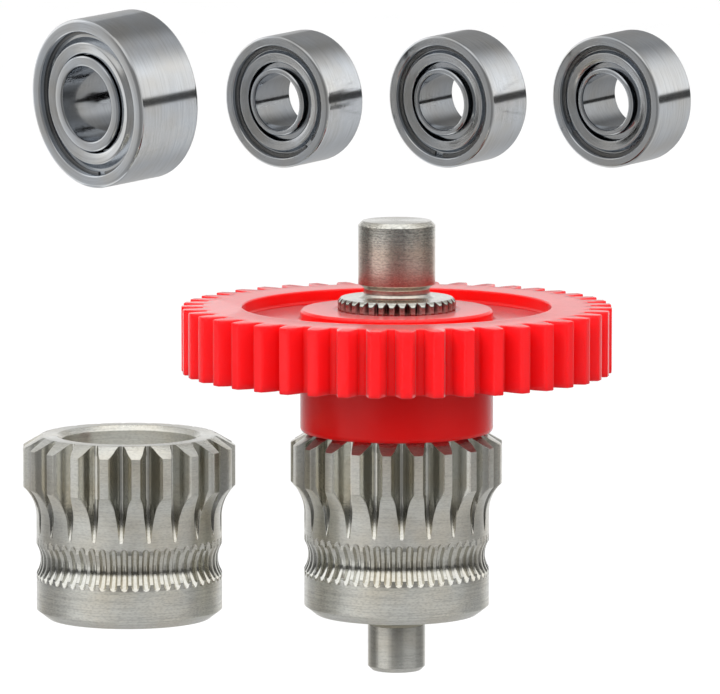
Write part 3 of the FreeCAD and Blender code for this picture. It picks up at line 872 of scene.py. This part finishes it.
def gear_steel(name, place):
    """Turned steel that varies with height, with smoother, darker cut faces."""
    steel = turned_steel(name, place, **GEAR_STEEL)
    nt = steel.nt
    share = calc(nt, "DIVIDE", steel.height, TABLE_TOP)

    def by_height(table):
        return ramp(nt, share, [(height / TABLE_TOP, value) for height, value in table])

    turned = add(nt, "Attribute", attribute_name="turned").outputs["Fac"]
    cut_roughness, cut_brightness, anisotropy = 0.145, 0.80, 0.9
    skin_rough = calc(nt, "MULTIPLY", steel.rough, by_height(ROUGH_BY_HEIGHT))
    rough = add(nt, "Mix", {0: turned, 2: cut_roughness, 3: skin_rough}, data_type="FLOAT")
    marks = calc(nt, "MULTIPLY", by_height(MARKS_BY_HEIGHT), turned)
    nt.links.new(marks, steel.marks.inputs[0])

    pits = noise(nt, vector_calc(nt, "MULTIPLY", steel.vector, (6.0, 6.0, 15.0)),
                 scale=1.0, detail=2.0)
    pit_shade = ramp(nt, pits, [(0.36, 0.45), (0.50, 0.92), (0.66, 1.12)])
    pitted = mix(nt, by_height(PITS_BY_HEIGHT), steel.marks.outputs[2], pit_shade, "MULTIPLY")
    # Painted shade: the knurl's grooves are darkened near the knurl's top
    groove = map_range(nt, steel.radius, from_min=KNURL_R - 0.13, from_max=KNURL_R - 0.03,
                       to_min=0.85, to_max=0.0)
    groove_shade = calc(nt, "MULTIPLY", by_height(KNURL_END_BY_HEIGHT), groove)
    shade_painted = mix(nt, groove_shade, pitted, 0.10, "MULTIPLY")
    # The journal's brownish red tint is a painted reflection of the red gear
    reflection_painted = mix(nt, 1.0, shade_painted, by_height(PAINTED_RED_REFLECTION_BY_HEIGHT), "MULTIPLY")
    brightness = mix(nt, turned, cut_brightness, by_height(BRIGHT_BY_HEIGHT))
    tangent = add(nt, "Tangent", direction_type="RADIAL", axis="Z")
    feed(nt, steel.surface, {
        "Base Color": mix(nt, 1.0, reflection_painted, brightness, "MULTIPLY"),
        "Roughness": rough.outputs[0],
        "Tangent": tangent.outputs[0],
        "Anisotropic Rotation": 0.25})
    steel.surface.inputs["Anisotropic"].default_value = anisotropy
    nt.links.new(calc(nt, "MULTIPLY", turned, anisotropy), steel.surface.inputs["Anisotropic"])
    return steel.material


def bearing_steel(name, place, kind, bore):
    steel = turned_steel(f"{name}_{kind}_steel", place, **BEARING_STEELS[kind])
    if kind == "ring":                              # painted shade: the colour darkens towards the bore
        nt = steel.nt
        bore_shade = map_range(nt, steel.radius, from_min=bore + 0.02, from_max=bore + 0.10,
                         to_min=0.50)
        shade_painted = mix(nt, 1.0, steel.marks.outputs[2], bore_shade, "MULTIPLY")
        nt.links.new(shade_painted, steel.surface.inputs["Base Color"])
    return steel.material


def finish_bearing(name, place):
    """Make a bearing's steels and give them to its pieces."""
    steels = {kind: bearing_steel(name, place, kind, BEARING_SIZES[name].bore)
              for kind in BEARING_STEELS}
    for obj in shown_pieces():
        if not obj.name.startswith(name + "_"):
            continue
        if "shield" in obj.name:
            assign(obj, steels["shield"])
        elif "clip" in obj.name:
            assign(obj, steels["clip"])
        elif "outer_fine" in obj.name or "inner_fine" in obj.name:
            assign(obj, steels["ring"])
    for part, kind in (("cage", "cage"), ("balls", "ball")):
        obj = NODES[f"{name}_{part}"]
        obj.visible_glossy = False
        for slot in obj.material_slots:
            slot.material = steels[kind]
        if not obj.material_slots:                  # CAD pieces may come without a slot
            obj.data.materials.append(steels[kind])


# ------------------------------------------------------------------ red plastic
def red_acetal():
    """Moulded acetal: saturated red, light scatters inside, soft sheen, faint texture."""
    material, nt, surface = tree("red_acetal", {
        "Subsurface Weight": 0.80,
        "Subsurface Radius": (1.0, 0.10, 0.08),
        "Subsurface Scale": 0.0009,
        "IOR": 1.54})
    vector = local_coords(nt, Matrix.Identity(4))
    x, y, _ = separate(nt, vector)
    cloud = noise(nt, vector, scale=0.35, detail=3)
    grain = noise(nt, vector, scale=3.0, detail=3)
    base = ramp(nt, cloud, [(0.30, (0.78, 0.003, 0.003, 1)), (0.70, (0.84, 0.006, 0.006, 1))])
    # Light runs through the thin teeth, so the rim is a lighter, coral red
    rim = map_range(nt, axis_distance(nt, x, y), from_min=9.4, from_max=10.4)
    rimmed = mix(nt, rim, base, (0.90, 0.014, 0.019, 1))
    # Painted sheen: the colour turns pale pink where the surface is seen at a glancing angle,
    # for the bright backdrop's reflection
    facing = add(nt, "LayerWeight", {"Blend": 0.5}).outputs["Facing"]
    painted_sheen = ramp(nt, facing, [(0.40, 0.0), (0.77, 0.035), (0.86, 0.20), (0.97, 0.32)])
    # Faces that look up shine more
    _, _, upward = separate(nt, add(nt, "NewGeometry").outputs["Normal"])
    feed(nt, surface, {
        "Base Color": mix(nt, painted_sheen, rimmed, (0.86, 0.60, 0.62, 1)),
        "Specular IOR Level": map_range(nt, upward, from_min=0.5, from_max=0.95,
                                        to_min=0.22, to_max=0.80),
        "Roughness": map_range(nt, grain, to_min=0.16, to_max=0.26)})
    add_bump(nt, surface, grain, strength=0.02)
    return material


def add_red_reflection(source):
    """A copy of the spur gear that only reflections see, so that only the drive shows it.

    It answers rays that start within a band of heights and away from the idler.
    """
    swell, band_z, band_half, idler_clear, min_ray = 0.00002, 0.0155, 0.0090, 0.0058, 0.00025
    mesh = source.data.copy()
    count = len(mesh.vertices)
    points, normals = np.zeros(count * 3), np.zeros(count * 3)
    mesh.vertices.foreach_get("co", points)
    mesh.vertices.foreach_get("normal", normals)
    mesh.vertices.foreach_set("co", points + normals * swell)
    obj = link_object("red_reflection", mesh)
    material, nt, surface = tree("red_reflection", {
        "Base Color": (0.46, 0.006, 0.005, 1), "Roughness": 0.4})
    origin, length, _ = ray_origin(nt)
    x, y, z = separate(nt, origin)
    in_band = calc(nt, "COMPARE", z, band_z, band_half)
    distance = vector_calc(nt, "DISTANCE", combine(nt, x, y),
                           (IDLER_POS[0], IDLER_POS[1], 0), output="Value")
    away = calc(nt, "GREATER_THAN", distance, idler_clear)
    placed = calc(nt, "MULTIPLY", in_band, away)
    long_enough = calc(nt, "GREATER_THAN", length, min_ray)
    show_where(nt, nt.nodes["Material Output"], calc(nt, "MULTIPLY", placed, long_enough),
               surface.outputs[0])
    assign(obj, material)
    reflections_only(obj)
    source.visible_glossy = False
    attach(obj, "drive")
    obj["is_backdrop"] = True


# ------------------------------------------------------------------ floor
def build_floor():
    half, z = 3.0, -0.012
    material, nt, surface = tree("floor_paper", {"Base Color": colour(0.93), "Roughness": 0.9})
    paper = ramp(nt, noise(nt, scale=400.0), [(0.3, 0.925), (0.7, 0.945)])
    nt.links.new(paper, surface.inputs["Base Color"])
    mesh = bpy.data.meshes.new("floor")
    mesh.from_pydata([(-half, -half, z), (half, -half, z), (half, half, z), (-half, half, z)],
                     [], [(0, 1, 2, 3)])
    floor = link_object("floor", mesh)
    mesh.materials.append(material)
    floor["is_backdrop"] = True
    floor.visible_glossy = False
    floor.visible_diffuse = False


# ------------------------------------------------------------------ surroundings
# Brightness by direction. Columns: azimuth in degrees, 0 towards the camera (-Y) and 90
# towards +X, then brightness.
GLOSS_LOW = [                                       # below the horizon, the table's side
    (-180, 0.95), (-160, 0.86), (-140, 0.52), (-118, 0.30), (-98, 0.24), (-84, 0.52),
    (-74, 0.98), (-58, 1.08), (-40, 1.00), (-28, 0.66), (-14, 0.34), (0, 0.24), (18, 0.27),
    (34, 0.46), (52, 0.54), (76, 0.50), (92, 0.34), (112, 0.30), (130, 0.40), (146, 0.72),
    (160, 0.92), (180, 0.95)]
GLOSS_MID = [                                       # just over it: a bright backdrop behind
    (-180, 0.95), (-158, 0.95), (-140, 0.70), (-125, 0.20), (-100, 0.10), (-70, 0.10),
    (-40, 0.08), (0, 0.06), (40, 0.08), (70, 0.10), (100, 0.08), (125, 0.18), (140, 0.70),
    (158, 0.95), (180, 0.95)]
GLOSS_HIGH = [                                      # soft boxes above
    (-180, 0.75), (-140, 0.70), (-110, 0.95), (-90, 1.25), (-60, 1.45), (-30, 1.45), (0, 1.35),
    (30, 1.40), (60, 1.40), (90, 1.25), (110, 0.95), (140, 0.70), (180, 0.75)]
SOFT_AZIMUTH = [                                    # light on the plastic and the floor
    (-180, 0.35), (-120, 0.5), (-80, 1.0), (80, 1.0), (120, 0.5), (180, 0.35)]
SOFT_ELEVATION = [                                  # the same, by elevation in degrees
    (-90, 0.20), (-5, 0.22), (8, 0.75), (24, 1.05), (44, 0.85), (66, 0.28), (90, 0.22)]
DOME_LOW = [
    (-180, 0.45), (-135, 1.10), (-112, 0.95), (-95, 0.48), (-72, 0.38), (-50, 0.24), (0, 0.30),
    (50, 0.55), (95, 0.74), (147, 0.50), (180, 0.50)]
DOME_MID = [
    (-180, 0.50), (-140, 1.25), (-112, 1.35), (-96, 0.70), (-80, 0.46), (-62, 0.26), (0, 0.24),
    (60, 0.70), (95, 1.20), (120, 0.95), (150, 0.40), (180, 0.30)]
DOME_TOP = [
    (-180, 0.30), (-120, 0.90), (-90, 0.60), (0, 0.90), (90, 0.62), (115, 0.48), (151, 0.26),
    (180, 0.26)]


def azimuth_share(nt, x, towards_camera):
    angle = calc(nt, "ARCTAN2", x, towards_camera)
    return map_range(nt, angle, from_min=-math.pi, from_max=math.pi)


def azimuth_ramp(nt, share, table, interpolation="EASE"):
    return ramp(nt, share, [((deg + 180) / 360, value) for deg, value in table], interpolation)


def elevation_ramp(nt, share, table, interpolation="EASE"):
    return ramp(nt, share, [((math.sin(math.radians(deg)) + 1) / 2, value)
                            for deg, value in table], interpolation)


def build_world():
    """Separate surroundings for reflections, for soft light and for the camera."""
    world = bpy.data.worlds.new("studio")
    bpy.context.scene.world = world
    world.use_nodes = True
    nt = world.node_tree
    nt.nodes.clear()
    output = add(nt, "OutputWorld")
    x, y, z = separate(nt, add(nt, "TexCoord").outputs["Generated"])
    azimuth = azimuth_share(nt, x, calc(nt, "MULTIPLY", y, -1.0))
    elevation = map_range(nt, z, from_min=-1.0, from_max=1.0)

    # Each layer: what it lays over those before, where by elevation, and how it eases in
    gloss = azimuth_ramp(nt, azimuth, GLOSS_LOW)
    layers = [(azimuth_ramp(nt, azimuth, GLOSS_MID), [(-4, 0.0), (1, 1.0)], "LINEAR"),
              (azimuth_ramp(nt, azimuth, GLOSS_HIGH), [(10, 0.0), (18, 1.0)], "EASE"),
              (1.5, [(58, 0.0), (72, 1.0)], "EASE"),
              (0.62, [(-27, 1.0), (-12, 0.0)], "EASE")]
    for brightness, where, interpolation in layers:
        weight = elevation_ramp(nt, elevation, where, interpolation)
        gloss = mix(nt, weight, gloss, brightness)
    soft = mix(nt, 1.0, elevation_ramp(nt, elevation, SOFT_ELEVATION),
               azimuth_ramp(nt, azimuth, SOFT_AZIMUTH), "MULTIPLY")

    def background(shade_of, strength):
        return add(nt, "Background", {0: shade_of, 1: strength}).outputs[0]

    path = add(nt, "LightPath")
    lighting = mix_shaders(nt, path.outputs["Is Glossy Ray"], background(soft, strength=2.1),
                           background(gloss, strength=1.0))
    seen = mix_shaders(nt, path.outputs["Is Camera Ray"], lighting,
                       background(colour(1.0), strength=1.0))
    nt.links.new(seen, output.inputs[0])


def build_bearing_dome():
    """Surroundings seen only in reflections that start above min_z.

    A soft box over a dark line at the table's edge.
    """
    min_z = 0.0245
    mesh = bpy.data.meshes.new("bearing_dome")
    bm = bmesh.new()
    bmesh.ops.create_uvsphere(bm, u_segments=64, v_segments=32, radius=1.5)
    bm.to_mesh(mesh)
    bm.free()
    obj = link_object("bearing_dome", mesh)
    material = bpy.data.materials.new("bearing_dome")
    material.use_nodes = True
    nt = material.node_tree
    nt.nodes.clear()
    output = add(nt, "OutputMaterial")
    origin, _, incoming = ray_origin(nt)
    high = calc(nt, "GREATER_THAN", separate(nt, origin)[2], min_z)
    x, y, z = separate(nt, incoming)                # the direction of sight is its reverse
    azimuth = azimuth_share(nt, calc(nt, "MULTIPLY", x, -1.0), y)
    elevation = map_range(nt, z, from_min=1.0, from_max=-1.0)
    light = mix(nt, elevation_ramp(nt, elevation, [(-3, 0), (3, 1)], "LINEAR"),
                azimuth_ramp(nt, azimuth, DOME_LOW), azimuth_ramp(nt, azimuth, DOME_MID))
    light = mix(nt, elevation_ramp(nt, elevation, [(30, 0), (50, 1)]), light,
                azimuth_ramp(nt, azimuth, DOME_TOP))
    line_height = elevation_ramp(nt, elevation, [(-4.0, 0), (-2.5, 1), (4.5, 1), (6.5, 0)],
                                 "LINEAR")
    line_width = azimuth_ramp(nt, azimuth, [(50, 0), (64, 1), (136, 1), (150, 0)], "LINEAR")
    light = mix(nt, calc(nt, "MULTIPLY", line_height, line_width), light, 0.06)
    show_where(nt, output, high, add(nt, "Emission", {0: light}).outputs[0])
    mesh.materials.append(material)
    reflections_only(obj)
    material.cycles.emission_sampling = "NONE"
    obj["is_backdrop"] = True


def add_self_reflection(name, size, place):
    """A bearing's rings as its own reflections see them; its neighbours don't see them."""
    margin, min_ray = 0.0001, 0.00002
    points, faces = [], []
    for piece in list(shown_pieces()):
        if piece.name.startswith(name + "_") and piece.name.endswith("_fine"):
            piece.visible_glossy = False
            if "clip" in piece.name:
                continue
            start = len(points)
            points += [tuple(vertex.co) for vertex in piece.data.vertices]
            faces += [tuple(start + i for i in face.vertices) for face in piece.data.polygons]
    mesh = bpy.data.meshes.new(name + "_reflection")
    mesh.from_pydata(points, [], faces)
    shade(mesh, 35)
    obj = link_object(name + "_reflection", mesh)
    material, nt, surface = tree(name + "_reflection", {
        "Base Color": (0.50, 0.53, 0.57, 1), "Metallic": 1.0, "Roughness": 0.18})
    origin, length, _ = ray_origin(nt)
    distance = vector_calc(nt, "DISTANCE", origin, place.to_translation() * MM, output="Value")
    near = calc(nt, "LESS_THAN", distance, math.hypot(size.od, size.half) * MM + margin)
    long_enough = calc(nt, "GREATER_THAN", length, min_ray)
    show_where(nt, nt.nodes["Material Output"], calc(nt, "MULTIPLY", near, long_enough),
               surface.outputs[0])
    mesh.materials.append(material)
    reflections_only(obj)
    obj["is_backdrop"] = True


# ------------------------------------------------------------------ light and camera
def aim(obj, place, target):
    obj.location = place
    obj.rotation_euler = (Vector(target) - Vector(place)).to_track_quat("-Z", "Y").to_euler()


def add_key_light():
    light = bpy.data.lights.new("key", "AREA")
    light.size = 0.16
    light.energy = 0.30
    obj = link_object("key", light)
    aim(obj, (-0.16, -0.22, 0.24), (CAD_BOX[0] + CAD_BOX[1]) / 2)
    obj.visible_glossy = False


def add_camera():
    target = Vector((-1.9, 0.0, 16.9)) * MM
    eye = Vector((-1.9, -380.0, LIFT + 61.4)) * MM
    magnification = 0.965                           # size on the sensor over size at target
    camera = bpy.data.cameras.new("camera")
    obj = link_object("camera", camera)
    aim(obj, eye, target)
    camera.sensor_width = 36.0
    camera.lens = magnification * (target - eye).length / MM
    camera.clip_start, camera.clip_end = 0.01, 20.0
    bpy.context.scene.camera = obj


# ------------------------------------------------------------------ build
drive = build_drive()
idler = build_idler()
spur = build_spur()
places = {name: bearing_place(name) for name in BEARING_SIZES}
for name, place in places.items():
    build_bearing(name, BEARING_SIZES[name], place)

idler_place = Matrix.Translation(Vector((IDLER_POS[0], IDLER_POS[1], 0)) / MM)
assign(drive, gear_steel("drive_steel", Matrix.Identity(4)))
assign(idler, gear_steel("idler_steel", idler_place))
assign(spur, red_acetal())
add_red_reflection(spur)
for name, place in places.items():
    finish_bearing(name, place)

scene = bpy.context.scene
scene.view_settings.view_transform = "Standard"
scene.view_settings.look = "None"
build_floor()
build_world()
build_bearing_dome()
for name, place in places.items():
    add_self_reflection(name, BEARING_SIZES[name], place)
add_key_light()
add_camera()
